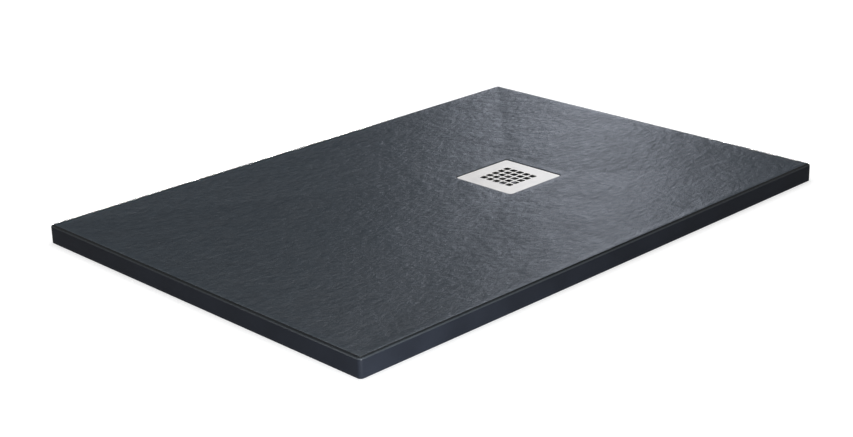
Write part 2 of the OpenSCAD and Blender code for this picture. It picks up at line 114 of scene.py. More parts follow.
class Shell:
    """Points and faces of one surface, gathered as whole arrays."""

    def __init__(self):
        self.points, self.faces, self.count = [], [], 0

    def add(self, points):
        """Keeps an array of points and gives an array of their numbers, of the same shape."""
        points = np.asarray(points, float)
        numbers = np.arange(self.count, self.count + points[..., 0].size)
        self.points.append(points.reshape(-1, 3))
        self.count += numbers.size
        return numbers.reshape(points.shape[:-1])

    def cover(self, numbers, closed=True):
        """Quads between neighbours in a 2-D array of point numbers; closed rows end where they
        start."""
        if closed:
            numbers = np.concatenate([numbers, numbers[:, :1]], 1)
        quads = [numbers[:-1, :-1], numbers[:-1, 1:], numbers[1:, 1:], numbers[1:, :-1]]
        self.faces += np.stack(quads, -1).reshape(-1, 4).tolist()

    def loops(self, points, turn=0.0, closed=True):
        """Covers loops of points that are given round the waste's axis and turned about it."""
        x, y, z = np.moveaxis(np.asarray(points), -1, 0)
        cosine, sine = math.cos(turn), math.sin(turn)
        x, y = x * cosine - y * sine + WASTE_X, x * sine + y * cosine
        self.cover(self.add(points_of(x, y, z)), closed)

    def mesh(self, name, *finishes):
        """A mesh of the faces, with these finishes."""
        mesh = bpy.data.meshes.new(name)
        mesh.from_pydata(np.concatenate(self.points).tolist(), [], self.faces)
        for finish in finishes:
            mesh.materials.append(finish)
        return mesh

    def piece(self, name, body, slot, replaced, *finishes):
        """Makes a piece: points that coincide are merged, faces turned outwards, and sharp bends
        stay sharp. An open edge is an error. Gives the mesh."""
        mesh = self.mesh(name, *finishes)
        work = bmesh.new()
        work.from_mesh(mesh)
        bmesh.ops.remove_doubles(work, verts=work.verts, dist=SAME_PLACE)
        loose = [point for point in work.verts if not point.link_faces]
        bmesh.ops.delete(work, geom=loose, context="VERTS")
        bmesh.ops.recalc_face_normals(work, faces=work.faces)
        if any(len(edge.link_faces) != 2 for edge in work.edges):
            raise RuntimeError(f"{name} isn't closed")
        if work.calc_volume(signed=True) < 0:
            bmesh.ops.reverse_faces(work, faces=work.faces)
        work.to_mesh(mesh)
        work.free()
        mesh.polygons.foreach_set("use_smooth", np.ones(len(mesh.polygons), bool))
        mesh.set_sharp_from_angle(angle=SHARP)
        made = placed(name, mesh)
        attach(made, body)
        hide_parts(replaced)
        return mesh


def points_of(x, y, z):
    """An array of points from coordinates that broadcast together."""
    return np.stack(np.broadcast_arrays(x, y, z), -1)


def raised(plan, z):
    """Points over places of (x, y), at a height or heights."""
    return points_of(plan[..., 0], plan[..., 1], z)


def unit(ways):
    """The same directions, of length 1."""
    return ways / np.linalg.norm(ways, axis=-1, keepdims=True)


def square_loop(along, up=None):
    """The outline of the square from -1 to 1, anticlockwise, with points at these places on the
    two sides along x, and at those of up, or the same ones, on the two sides along y."""
    up = along if up is None else up
    sides = ((along, -1), (1, up), (-along, 1), (-1, -up))
    return np.concatenate([np.stack(np.broadcast_arrays(*side), -1) for side in sides])


def even(count):
    """Places from -1 towards 1 in that many equal steps, without the last."""
    return np.linspace(-1, 1, count, endpoint=False)


def soft_outline(loop, half_x, half_y, radius):
    """A square loop stretched to a rectangle with round corners. A point goes to its nearest
    place on the rectangle that is smaller by the radius, then the radius towards where it was."""
    flat = loop * (half_x, half_y)
    inner = np.clip(flat, (radius - half_x, radius - half_y), (half_x - radius, half_y - radius))
    return inner + radius * unit(flat - inner)


def quarter(radius, steps):
    """Pairs of (distance in from the side, rise from the face) over a rounded edge, from the
    face to the side: radius (1 - sin a) and radius (cos a - 1)."""
    angles = np.linspace(0, math.pi / 2, steps + 1)
    return [(radius * (1 - math.sin(a)), radius * (math.cos(a) - 1)) for a in angles]


def rounded(corners):
    """An outline of (r, z) points in metres from corners of (r, z, radius) in millimetres. An arc
    that touches both sides takes a corner's place, and a point on each side just beyond it keeps
    the sides flat. An arc's points are its chord's, moved out to the radius from its centre."""
    corners = np.asarray(corners, float)
    place, radius = corners[:, :2], np.maximum(corners[:, 2:], 1e-6)
    back, on = unit(np.roll(place, 1, 0) - place), unit(np.roll(place, -1, 0) - place)
    middle = unit(back + on + 1e-9 * np.stack([-on[:, 1], on[:, 0]], -1))
    cosine = (middle * on).sum(-1, keepdims=True)
    sine = np.sqrt(1 - cosine**2)
    centre = place + middle * radius / sine
    start, end = (place + way * radius * cosine / sine for way in (back, on))
    share = np.linspace(0, 1, 5)[None, :, None]
    arc = (start - centre)[:, None] * (1 - share) + (end - centre)[:, None] * share
    arc = centre[:, None] + unit(arc) * radius[:, None]
    supports = [start + 0.3 * radius * back, end + 0.3 * radius * on]
    outline = np.concatenate([supports[0][:, None], arc, supports[1][:, None]], 1)
    return outline.reshape(-1, 2) * MM


def span(name):
    """A solid's lowest and highest z and its reach along X from the waste's axis, in mm."""
    low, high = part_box(name)
    return low.z / MM, high.z / MM, (high.x - WASTE_X) / MM


def turned(shell, corners, steps, closed=True, centre=(WASTE_X, 0), shape=None, along_x=None):
    """A rounded outline of (r, z) carried round an upright axis: (r cos a, r sin a, z) for each
    angle a. One that isn't closed ends on the axis or on other faces. shape gives the radius from
    (a, r, z). Given a height for along_x, the axis lies at that height and points along X, and z
    is the distance from the waste's axis."""
    angle = np.linspace(0, 2 * math.pi, steps + 1)[:, None]
    radius, z = rounded(corners).T
    if shape:
        radius = shape(angle, radius, z)
    x, y = radius * np.cos(angle), radius * np.sin(angle)
    if along_x is None:
        points = points_of(x + centre[0], y + centre[1], z)
    else:
        points = points_of(z + WASTE_X, y, along_x - x)
    shell.cover(shell.add(points), closed)


def punched_ring(shell, near, far, place, half_turn, arc_steps, turns, path):
    """Equal sectors of a flat ring about the waste, with a round hole in each, in millimetres. A
    sector's outline is a square loop of (angle, radius). Loops go from it in to the hole at the
    height where the path of (radius, z) starts, along the path, and back out at the height where
    it ends: each point keeps its direction from the hole's centre."""
    angle, share = square_loop(even(arc_steps), even(4)).T
    angle, radius = angle * half_turn, (near + far) / 2 + (far - near) / 2 * share
    outline = np.stack([radius * np.cos(angle), radius * np.sin(angle)], -1)
    away = unit(outline - (place, 0))
    loops = [raised(outline, path[0][1])]
    loops += [raised((place, 0) + r * away, z) for r, z in path]
    loops += [raised(outline, path[-1][1])]
    for turn in turns:
        shell.loops(np.stack(loops) * MM, turn)


def slab(shell, low, high, edge, turn=0.0):
    """A block between corners in millimetres, with rounded edges, turned about the waste's axis.
    Loops go from its upper face's middle out over the rounding, down its sides and under it."""
    low, high = np.array(low) * MM, np.array(high) * MM
    middle, half = (low + high)[:2] / 2, (high - low)[:2] / 2
    loop = square_loop(even(8))
    rows = [(inset, high[2] + fall) for inset, fall in quarter(edge, 3)]
    rows += [(inset, low[2] - fall) for inset, fall in quarter(edge, 3)[::-1]]
    loops = [raised(0 * loop, high[2])]
    for inset, z in rows:
        corner = 1.01 * edge - 0.9 * inset  # above 0 even where the inset is the whole edge
        loops.append(raised(soft_outline(loop, *(half - inset), corner), z))
    loops += [raised(0 * loop, low[2])]
    shell.loops(np.stack(loops) + (*middle, 0), turn)


# ---- Node trees ----

def maths(operation, swapped=False):
    """A Python operator of Signal that adds a Math node, with its inputs swapped or not."""
    def apply(self, other=0.0):
        pair = (other, self) if swapped else (self, other)
        return self.finish.node("Math", dict(enumerate(pair)), operation=operation)

    return apply


class Signal:
    """What a socket gives. Python's operators on it add Math nodes to its finish."""

    def __init__(self, finish, socket):
        self.finish, self.socket = finish, socket

    __add__, __radd__ = maths("ADD"), maths("ADD", True)
    __sub__, __rsub__ = maths("SUBTRACT"), maths("SUBTRACT", True)
    __mul__, __rmul__ = maths("MULTIPLY"), maths("MULTIPLY", True)
    __pow__, __abs__ = maths("POWER"), maths("ABSOLUTE")
    highest, sine = maths("MAXIMUM"), maths("SINE")

    def ramp(self, low, high):
        """0 where this is low, 1 where it is high, smoothly between; low may be the larger."""
        inputs = {"Value": self, "From Min": low, "From Max": high}
        return self.finish.node("MapRange", inputs, interpolation_type="SMOOTHSTEP")

    def pick(self, first, second):
        """The first colour where this is 0, the second where it is 1."""
        inputs = {"Factor_Float": self, "A_Color": first, "B_Color": second}
        return self.finish.node("Mix", inputs, "Result_Color", data_type="RGBA")

    def shade(self, low, high, colour, factor):
        """The colour where this is high, and the colour times the factor where it is low."""
        return self.ramp(low, high).pick([factor * channel for channel in colour], colour)


class Finish:
    """A node tree, with one method that adds any node."""

    def __init__(self, tree):
        self.tree = tree

    def node(self, kind, inputs=None, output=0, **settings):
        """Adds a node of that kind with these settings, then the values or links of its sockets.
        Gives one of its outputs."""
        made = self.tree.nodes.new("ShaderNode" + kind)
        for name, value in settings.items():
            setattr(made, name, value)
        for name, value in (inputs or {}).items():
            self.feed(self.find(made.inputs, name), value)
        if made.outputs:
            return Signal(self, self.find(made.outputs, output))

    @staticmethod
    def find(sockets, name):
        """A socket by its place, identifier or name."""
        if isinstance(name, int):
            return sockets[name]
        return next(s for s in sockets if name in (s.identifier, s.name))

    def feed(self, socket, value):
        """Links a signal to the socket, or sets its value."""
        if isinstance(value, Signal):
            self.tree.links.new(value.socket, socket)
        elif socket.type == "RGBA":
            socket.default_value = (*value, 1)
        else:
            socket.default_value = value

    def ray(self, kind):
        """1 for a ray of that kind and 0 for others."""
        return self.node("LightPath", output=f"Is {kind} Ray")


class Coat(Finish):
    """A material whose tree ends in one Principled shader with these constants."""

    def __init__(self, name, **constants):
        self.material = bpy.data.materials.new(name)
        self.material.use_nodes = True
        super().__init__(self.material.node_tree)
        self.set(**constants)
        self.place = self.node("TexCoord", output="Object")

    def set(self, **inputs):
        """Sets or links sockets of the shader, written with _ for a space."""
        for name, value in inputs.items():
            self.feed(self.tree.nodes["Principled BSDF"].inputs[name.replace("_", " ")], value)

    def dress(self, colour, roughness, *layers):
        """Links the colour, the roughness and a normal from layers, each of them a pair of
        (height from 0 to 1, millimetres high). Gives the material."""
        normal = {}
        for height, depth in layers:
            inputs = {"Height": height, "Distance": depth * MM, "Strength": 1.0, **normal}
            normal = {"Normal": self.node("Bump", inputs)}
        self.set(Base_Color=colour, Roughness=roughness, **normal)
        return self.material

    def drawn(self, factor, turn=(0, 0, 0)):
        """Object coordinates that draw a pattern out along X by that factor, then turn it."""
        inputs = {"Vector": self.place, "Rotation": turn, "Scale": (factor, 1, 1)}
        return self.node("Mapping", inputs, vector_type="TEXTURE")

    def noise(self, scale, detail=3, roughness=0.5, warp=0, at=None):
        """Noise from 0 to 1; the scale is features in a metre."""
        inputs = {"Vector": at or self.place, "Scale": scale, "Detail": detail,
                  "Roughness": roughness, "Distortion": warp}
        return self.node("TexNoise", inputs)

    def cells(self, scale, output="Distance"):
        """Distances to scattered points, or another output of the Voronoi texture."""
        return self.node("TexVoronoi", {"Vector": self.place, "Scale": scale}, output)

    def part(self, axis):
        """One number of the object coordinates."""
        return self.node("SeparateXYZ", {"Vector": self.place}, axis)


# ---- Settings ----

def length(name, description, default, low, high):
    """A setting for a length, of which the three numbers are given in millimetres."""
    return FloatProperty(name=name, description=description, default=default * MM, min=low * MM,
                         max=high * MM, precision=5, unit="LENGTH")


def tint(name, description, default):
    """A setting for a colour."""
    return FloatVectorProperty(name=name, description=description, default=default, min=0, max=1,
                               subtype="COLOR")


def power(name, description, default):
    """A setting for a lamp's power in watts."""
    return FloatProperty(name=name, description=description, default=default, min=0, max=1000,
                         subtype="POWER", unit="POWER")


def number(name, description, default, low, high):
    """A setting for a number of like things."""
    return IntProperty(name=name, description=description, default=default, min=low, max=high)


class TraySurfaceSettings(bpy.types.PropertyGroup):
    """Form and colour of the slate-effect gelcoat"""

    arris: length("Arris radius", "Radius along the top edges", 5, 1, 10)
    corner: length("Corner radius", "Radius of the upright corners, seen from above", 6, 5, 20)
    land: length("Rim land", "Level band between the arris and the falling planes", 3, 1, 20)
    recess_gap: length("Recess gap", "Gap between the grate and the walls of its recess", 1, 0.5, 2)
    recess_drop: length("Grate drop", "Depth of the grate below the edge of its recess", 1, 0, 3)
    recess_corner: length("Recess corner", "Radius in the corners of the recess", 5.5, 2, 10)
    waste_hole: length("Waste hole", "Radius of the hole in the floor of the recess", 45, 30, 50)
    step: length("Grid step", "Distance between the points of the slate relief", 3.2, 2, 10)
    relief: length("Relief depth", "Deepest cleft of the slate relief", 0.65, 0, 0.7)
    ripple_length: length("Ripple length", "Length of the ripples along the grain", 21, 5, 100)
    ripple_width: length("Ripple width", "Distance between ripples across the grain", 11, 5, 100)
    # Painted shade: the cleft colour darkens the slate where its relief is deep.
    colour_deep_shade: tint("Cleft colour", "Colour in the clefts of the slate", (0.018, 0.025, 0.033))
    colour_high: tint("Crest colour", "Colour on the crests of the slate", (0.0325, 0.0425, 0.0535))
    # Painted shade: the sides and the recess take a darker copy of the gelcoat's colour.
    colour_side_shade: tint(
        "Side colour", "Colour of the smooth gelcoat on the sides", (0.0088, 0.0101, 0.0138))
    # Painted shade: darker than the sides, standing in for the dark reflection along the top edges.
    colour_arris_painted_dark: tint(
        "Arris colour", "Colour of the polished gelcoat on the arris", (0.0055, 0.0065, 0.0075))
    # Painted highlight: the paler line along the arris's lower half, standing in for a reflected
    # light.
    colour_arris_painted_highlight: tint(
        "Highlight colour", "Colour of the arris where it is highlit", (0.020, 0.0225, 0.0255))
    colour_core: tint(
        "Core colour", "Colour of the cast resin under the gelcoat", (0.085, 0.088, 0.092))
    colour_backing: tint(
        "Backing colour", "Colour of the glass-fibre sheet on the underside", (0.44, 0.45, 0.33))


class GrateSettings(bpy.types.PropertyGroup):
    """Form and colour of the grate"""

    corner: length("Corner radius", "Radius of the plate's corners", 4.5, 1, 10)
    edge: length("Edge rounding", "Rounding along the plate's top edge", 0.6, 0.1, 0.8)
    hole: length("Hole side", "Side of each square hole", 11, 6, 11.5)
    hole_corner: length("Hole corner", "Radius in the corners of each hole", 2.5, 0.5, 2.75)
    hole_edge: length(
        "Hole rounding", "Rounding that the punch leaves round each hole", 0.25, 0.1, 0.5)
    pitch: length("Hole pitch", "Distance between the centres of neighbouring holes", 14, 13.5, 15)
    count: number("Holes per side", "Number of holes along each side", 5, 1, 5)
    foot: length("Foot radius", "Radius of the rubber feet", 6, 4, 8)
    stud: length("Stud radius", "Radius of the studs in the feet", 2, 1, 3)
    colour: tint("Steel colour", "Colour of the satin steel", (0.85, 0.83, 0.80))
    # Painted shade: the punched walls and the underside are dark to stand for the shade inside the
    # holes.
    colour_hole_shade: tint(
        "Shade colour", "Colour of the punched walls and the plate's underside", (0.06, 0.056, 0.052))


class StrainerSettings(bpy.types.PropertyGroup):
    """Form and colour of the hair strainer and its knob"""

    sheet: length("Sheet thickness", "Thickness of the pressed sheet", 0.8, 0.4, 1.5)
    wall: length("Wall radius", "Outer radius of the basket's wall", 31, 30, 32)
    drain_hole: length("Drain hole", "Radius of the drain holes", 2.25, 1.5, 2.6)
    drain_edge: length(
        "Hole rounding", "Rounding that the punch leaves round each hole", 0.2, 0.05, 0.3)
    drain_first: length(
        "First row", "Distance of the first row of holes from the middle", 9.2, 8, 10)
    drain_pitch: length("Row distance", "Distance between the rows of holes", 8.2, 8, 8.4)
    knob_pin: length("Pin radius", "Radius of the knob's pin in the sheet", 2.5, 1.5, 4)
    scallops: number("Scallops", "Number of finger scallops round the knob", 10, 3, 20)
    scallop_depth: length("Scallop depth", "Depth of the finger scallops", 0.4, 0, 0.6)
    colour: tint("Steel colour", "Colour of the basket's steel", (0.16, 0.16, 0.163))
    colour_knob: tint(
        "Knob colour", "Colour of the knob and the outlet's nut", (0.05, 0.055, 0.062))


class WasteSettings(bpy.types.PropertyGroup):
    """Form and colour of the flange, the siphon, the trap and its outlet"""

    bore: length("Flange bore", "Radius of the flange's bore", 32.5, 32, 33.5)
    screw_place: length(
        "Screw circle", "Radius of the circle that the screws stand on", 39, 38.5, 45)
    groove: length("Seal groove", "Radius at the bottom of the seal's groove", 28.9, 28, 30)
    tube: length("Dip tube", "Outer radius of the dip tube", 20, 16, 24)
    edge: length(
        "Bar and fin rounding", "Rounding of the lifting bar and the cup's fins", 0.4, 0.1, 0.8)
    nut: length("Nut radius", "Radius of the nut between its ribs", 28.1, 27, 29)
    ribs: number("Nut ribs", "Number of grip ribs round the nut", 12, 4, 24)
    rib_height: length("Rib height", "Height of the grip ribs", 1.3, 0, 1.3)
    colour: tint(
        "Rubber colour", "Colour of the feet, the gaskets and the seals", (0.012, 0.012, 0.013))
    # Painted shade: the flange's steel is darkened to stand for the shade under the grate.
    colour_flange_shade: tint("Flange colour", "Colour of the flange's steel", (0.10, 0.10, 0.103))
    colour_screws: tint("Screw colour", "Colour of the screws", (0.28, 0.28, 0.285))
    colour_inserts: tint("Brass colour", "Colour of the threaded inserts", (0.66, 0.45, 0.19))
    colour_trap: tint("Trap colour", "Colour of the trap's plastic", (0.27, 0.29, 0.31))
    colour_siphon: tint(
        "Siphon colour", "Colour of the siphon and the slip ring", (0.67, 0.69, 0.70))


class StageSettings(bpy.types.PropertyGroup):
    """The floor, the light and the camera"""

    floor_colour: tint("Floor colour", "Colour of the pale floor", (0.6, 0.6, 0.6))
    ambient: FloatProperty(
        name="Room light", description="Brightness of the room round the tray",
        default=0.3, min=0, max=2)
    overhead: power("Overhead power", "Power of the soft lamp above the tray", 51)
    window: power("Window power", "Power of the tall lamp behind the tray", 6.3)
    side: power("Side power", "Power of the low lamp before the short side", 4.5)
    front: power("Front power", "Power of the low lamp before the long side", 23)
    back: power("Back power", "Power of the low lamp behind the back edge", 16)
    end: power("End power", "Power of the low lamp beyond the waste end", 12)
    lens: FloatProperty(
        name="Lens", description="Focal length in millimetres",
        default=69.4, min=20, max=200)


# ---- Slate face ----

def grid_lines(marks):
    """Positions from (mark, widest step after it) pairs: even steps between neighbouring marks."""
    parts = []
    for (start, step), (end, _) in zip(marks, marks[1:]):
        count = max(1, math.ceil((end - start) / step - 1e-6))
        parts.append(np.linspace(start, end, count, endpoint=False))
    return np.concatenate(parts + [[marks[-1][0]]])


def edge_of(numbers):
    """The outer loop of a 2-D array of point numbers, anticlockwise from its first corner."""
    return np.concatenate([numbers[0, :-1], numbers[:-1, -1],
                           numbers[-1, :0:-1], numbers[:0:-1, 0]])


def slate_depth(x, y, long, wide):
    """Depth of the slate's clefts at a place, from 0 on the crests to 1 at the deepest, with
    ripples of that length and width.

    Ridged noise (|noise|, which has sharp bottoms) is laid along three directions of the grain,
    each where its own broad noise is strong. Added to it are flakes, three octaves of noise cut
    into levels with steep soft edges between them, and a slow swell."""
    ripple, weights = 0, 1e-3
    for seed, turn in ((21, -1.7), (31, -0.8), (41, -0.3)):
        along = x * math.cos(turn) + y * math.sin(turn)
        across = y * math.cos(turn) - x * math.sin(turn)
        across = across + 0.25 * wide * slope_noise(x / wide, y / wide, seed + 1)
        weight = soft_step(slope_noise(x / 0.09, y / 0.09, seed), -0.35, 0.45)
        ridge = np.abs(slope_noise(along / long, across / wide, seed + 2))
        ripple, weights = ripple + weight * ridge, weights + weight
    ripple = 1 - np.clip(2.4 * ripple / weights, 0, 1)
    swell = slope_noise(x / 0.13, y / 0.13, 51)
    flakes = slope_noise(x / 0.046, y / 0.038, 52) + 0.55 * slope_noise(x / 0.021, y / 0.019, 53)
    flakes = 1.6 * (1 + flakes + 0.3 * slope_noise(x / 0.011, y / 0.011, 54) + 0.6 * swell)
    level = np.floor(flakes)
    flakes = (level + soft_step(flakes - level, 0.1, 0.6)) / 5
    return np.clip(0.4 * flakes + 0.55 * ripple + 0.08 * (1 + swell), 0, 1)


def rows_of(items, name):
    """An attribute of a mesh's items, as an array of rows of three numbers."""
    values = np.empty(3 * len(items))
    items.foreach_get(name, values)
    return values.reshape(-1, 3)


def build_slate(sizes, *finishes):
    """The gelcoat as one closed shell. A grid carries the slate relief; loops go on from its
    outer edge over the arris and down the side, and from its hole into the recess and the waste
    hole; the same loops, a skin's thickness inside, come back, and four plane faces close it."""
    shell = Shell()
    half_x = HALF_LENGTH - sizes.arris - sizes.land
    half_y = HALF_WIDTH - sizes.arris - sizes.land
    recess = (GRATE_HIGH.x - GRATE_LOW.x) / 2 + sizes.recess_gap
    ring = recess + 7 * MM
    edge_z = GRATE_HIGH.z + sizes.recess_drop

    def height(x, y):
        """The highest, at each place, of the four planes that fall from the rim to the recess."""
        from_waste = np.stack([x - WASTE_X, WASTE_X - x, np.abs(y)], -1)
        reach = np.array([half_x - WASTE_X, half_x + WASTE_X, half_y])
        share = (from_waste - recess) / (reach - recess)
        return edge_z + (RIM_Z - edge_z) * share.max(-1)

    def cleft(x, y):
        to_rim = np.minimum(half_x - np.abs(x), half_y - np.abs(y))
        to_recess = np.maximum(np.abs(x - WASTE_X), np.abs(y)) - ring
        calm = soft_step(to_rim, 0, 14 * MM) * soft_step(to_recess, 0, 12 * MM)
        return slate_depth(x, y, sizes.ripple_length, sizes.ripple_width) * calm

    # The grid, finer along its outer edge and round the recess
    inside, band, fine, dense = ring - 14 * MM, 6 * MM, 1 * MM, 2 * MM

    def lines(half, waste):
        return grid_lines([
            (-half, fine), (band - half, sizes.step), (waste - ring, dense),
            (waste - inside, sizes.step), (waste + inside, dense), (waste + ring, sizes.step),
            (half - band, fine), (half, fine)])

    xs, ys = lines(half_x, WASTE_X), lines(half_y, 0)
    x, y = np.meshgrid(xs, ys)
    top = shell.add(points_of(x, y, height(x, y) - sizes.relief * cleft(x, y)))
    low_i, high_i = np.searchsorted(xs, [WASTE_X - ring - SAME_PLACE, WASTE_X + ring - SAME_PLACE])
    low_j, high_j = np.searchsorted(ys, [-ring - SAME_PLACE, ring - SAME_PLACE])
    middle = top[low_j:high_j + 1]
    for part in (top[:low_j + 1], top[high_j:], middle[:, :low_i + 1], middle[:, high_i:]):
        shell.cover(part, closed=False)

    # Outwards: land, arris, side, bottom edge, and back inside the skin
    rim = edge_of(top)
    rim_loop = np.concatenate(shell.points)[rim, :2] / (half_x, half_y)
    arc_z = RIM_Z - sizes.arris

    def rim_at(inset, z):
        plan = soft_outline(rim_loop, HALF_LENGTH - inset, HALF_WIDTH - inset,
                            sizes.corner - inset)
        return shell.add(raised(plan, z))

    loops = [rim]
    loops += [rim_at(inset, RIM_Z + fall) for inset, fall in quarter(sizes.arris, 6)]
    loops += [rim_at(0, z) for z in (0.6 * arc_z, 0.25 * arc_z, 0.5 * MM)]
    loops += [rim_at(0.15 * MM, 0.15 * MM), rim_at(0.5 * MM, 0), rim_at(SKIN, 0)]
    loops += [rim_at(SKIN + inset, RIM_Z - SKIN + fall)
              for inset, fall in quarter(sizes.arris - SKIN, 3)[::-1]]
    inner_rim = shell.add(raised(rim_loop * (half_x, half_y), RIM_Z - SKIN))
    shell.cover(np.stack(loops + [inner_rim]))

    # Inwards: the edge of the recess, its wall and floor, the waste hole, and back
    hole = edge_of(middle[:, low_i:high_i + 1])
    hole_loop = (np.concatenate(shell.points)[hole, :2] - (WASTE_X, 0)) / ring
    edge_round, fillet, hole_round = 1 * MM, 0.8 * MM, 0.6 * MM

    def recess_at(out, z=None, lift=0.0):
        plan = soft_outline(hole_loop, recess + out, recess + out, sizes.recess_corner + out)
        plan = plan + (WASTE_X, 0)
        return raised(plan, height(plan[:, 0], plan[:, 1]) + lift if z is None else z)

    def circle_at(out, z):
        return raised(unit(hole_loop) * (sizes.waste_hole + out) + (WASTE_X, 0), z)

    floor_edge = recess_at(-fillet, RECESS_FLOOR_Z)
    hole_edge = circle_at(hole_round, RECESS_FLOOR_Z)
    paths = [recess_at(4.5 * MM), recess_at(2.5 * MM)]
    paths += [recess_at(inset, None, fall) for inset, fall in quarter(edge_round, 4)]
    paths += [recess_at(0, (edge_z + RECESS_FLOOR_Z) / 2)]
    paths += [recess_at(inset, RECESS_FLOOR_Z + rise) for rise, inset in quarter(fillet, 3)]
    paths += [floor_edge + (hole_edge - floor_edge) * t for t in (0.25, 0.5, 0.75, 1)]
    paths += [circle_at(inset, RECESS_FLOOR_Z + fall) for inset, fall in quarter(hole_round, 3)[1:]]
    paths += [circle_at(0, 0), circle_at(SKIN, 0), circle_at(SKIN, RECESS_FLOOR_Z - SKIN),
              recess_at(SKIN, RECESS_FLOOR_Z - SKIN), recess_at(SKIN, None, -SKIN)]
    numbers = [hole] + [shell.add(path) for path in paths]
    shell.cover(np.stack(numbers))

    # The four plane faces under the slate
    outer = np.cumsum([0] + [len(xs) - 1, len(ys) - 1] * 2)
    inner = np.cumsum([0] + [high_i - low_i, high_j - low_j] * 2)
    inner_hole = numbers[-1]
    for side in range(4):
        out_part = np.take(inner_rim, np.arange(outer[side], outer[side + 1] + 1), mode="wrap")
        in_part = np.take(inner_hole, np.arange(inner[side], inner[side + 1] + 1), mode="wrap")
        shell.faces.append(out_part.tolist() + in_part[::-1].tolist())

    mesh = shell.piece("slate_face", "tray", "slate_gelcoat", "gelcoat_skin", *finishes)
    place = rows_of(mesh.vertices, "co")
    relief = mesh.attributes.new("relief", "FLOAT", "POINT")
    relief.data.foreach_set("value", cleft(place[:, 0], place[:, 1]).astype(np.float32))
    upward = rows_of(mesh.polygons, "normal")[:, 2]
    x, y, z = rows_of(mesh.polygons, "center").T
    on_top = (upward > 0.95) & (z > edge_z - 2 * sizes.relief)
    on_top |= (np.maximum(np.abs(x - WASTE_X), np.abs(y)) < ring) & (z > edge_z - edge_round)
    on_arris = (upward > 0.25) & (z > arc_z)
    zone = np.where(on_top, 0, np.where(on_arris, 2, 1))
    mesh.polygons.foreach_set("material_index", zone.astype(np.int32))


# ---- Grate ----

def build_grate(sizes, finish):
    """The pressed plate. Each hole's cell is a profile carried round a loop: from the cell's
    square border in to the hole, over the punch's rounding, down the wall and back out below. The
    frame round the cells is the same between the block of cells and the plate's outline."""
    shell = Shell()
    base, top = GRATE_LOW.z, GRATE_HIGH.z
    places = np.array([-1, -0.9, -0.8, -0.7, -0.6, -0.5, 0, 0.5, 0.6, 0.7, 0.8, 0.9])
    half_cell, burr = sizes.pitch / 2, 0.15 * MM
    centres = (np.arange(sizes.count) - (sizes.count - 1) / 2) * sizes.pitch
    block = half_cell * sizes.count

    def profile(loop, border, half, corner, edge, support):
        """Loops over an edge that the punch has rounded. Insets count into the plate: a hole
        grows by them, and the plate's outline, of negative half and corner, shrinks."""
        rows = [(edge + support, top)]
        rows += [(inset, top + fall) for inset, fall in quarter(edge, 4)]
        rows += [(0, base + burr), (burr, base), (edge + support, base)]
        loops = [raised(loop * border, top)]
        for inset, z in rows:
            side, radius = abs(half + inset), abs(corner + inset)
            loops.append(raised(soft_outline(loop, side, side, radius), z))
        return np.stack(loops + [raised(loop * border, base)])

    cell = profile(square_loop(places), half_cell, sizes.hole / 2, sizes.hole_corner,
                   sizes.hole_edge, 0.5 * MM)
    for x in centres:
        for y in centres:
            shell.loops(cell + (x, y, 0))
    along = (centres[:, None] + places * half_cell).ravel() / block
    half = (GRATE_HIGH.x - GRATE_LOW.x) / 2
    shell.loops(profile(square_loop(along), block, -half, -sizes.corner, sizes.edge, 1.2 * MM))
    shell.piece("grate_cover", "grate", "grate_steel", "grate_plate", finish)


def build_feet(sizes, finish):
    """A rubber foot pushed over each stud: a profile with a waist, carried round the stud."""
    base, top, reach = span("grate_feet")
    foot, stud, place = sizes.foot / MM, sizes.stud / MM, reach * MM - sizes.foot
    outline = [
        (0, base, 0), (foot, base, 0.9), (foot, base + 1.6, 0.3), (foot - 0.5, base + 2.1, 0.3),
        (foot - 0.5, top - 2.5, 0.3), (foot, top - 2, 0.3), (foot, top, 0.3), (stud, top, 0.1),
        (stud, base + 1.5, 0.1), (0, base + 1.5, 0)]
    shell = Shell()
    for x in (-place, place):
        for y in (-place, place):
            turned(shell, outline, 48, False, (WASTE_X + x, y))
    shell.piece("rubber_feet", "grate", "black_rubber", "grate_feet", finish)


# ---- Hair strainer ----

def build_strainer(sizes, finish):
    """The pressed basket: rings of equal sectors with a drain hole in each, and the floor's
    middle and the wall with its rim as profiles carried round the waste's axis."""
    base, lip, rim = span("strainer_basket")
    sheet, wall, pin = sizes.sheet / MM, sizes.wall / MM, sizes.knob_pin / MM
    hole, soft, burr = sizes.drain_hole / MM, sizes.drain_edge / MM, 0.1
    floor = base + sheet
    path = [(hole + 2 * soft, floor)]
    path += [(hole + inset, floor + fall) for inset, fall in quarter(soft, 3)]
    path += [(hole, base + burr), (hole + burr, base)]
    shell = Shell()
    borders = (5.1, 13.3, 21.5, 28.5)
    for row, (near, far) in enumerate(zip(borders, borders[1:])):
        count = 6 * (row + 1)
        place = (sizes.drain_first + row * sizes.drain_pitch) / MM
        turns = np.arange(count) * (2 * math.pi / count)
        punched_ring(shell, near, far, place, math.pi / count, 144 // count, turns, path)
    border, inner = borders[-1], borders[0]
    turned(shell, [
        (border, floor, 0), (wall - sheet, floor, 1.4), (wall - sheet, lip, 1.2), (rim, lip, 0.35),
        (rim, lip - sheet, 0.35), (wall, lip - sheet, 0.4), (wall, base, 2.2), (border, base, 0)],
        144, False)
    turned(shell, [(inner, floor, 0), (pin, floor, 0.15), (pin, base, 0.15), (inner, base, 0)],
           144, False)
    shell.piece("hair_strainer", "strainer", "stainless_steel", "strainer_basket", finish)


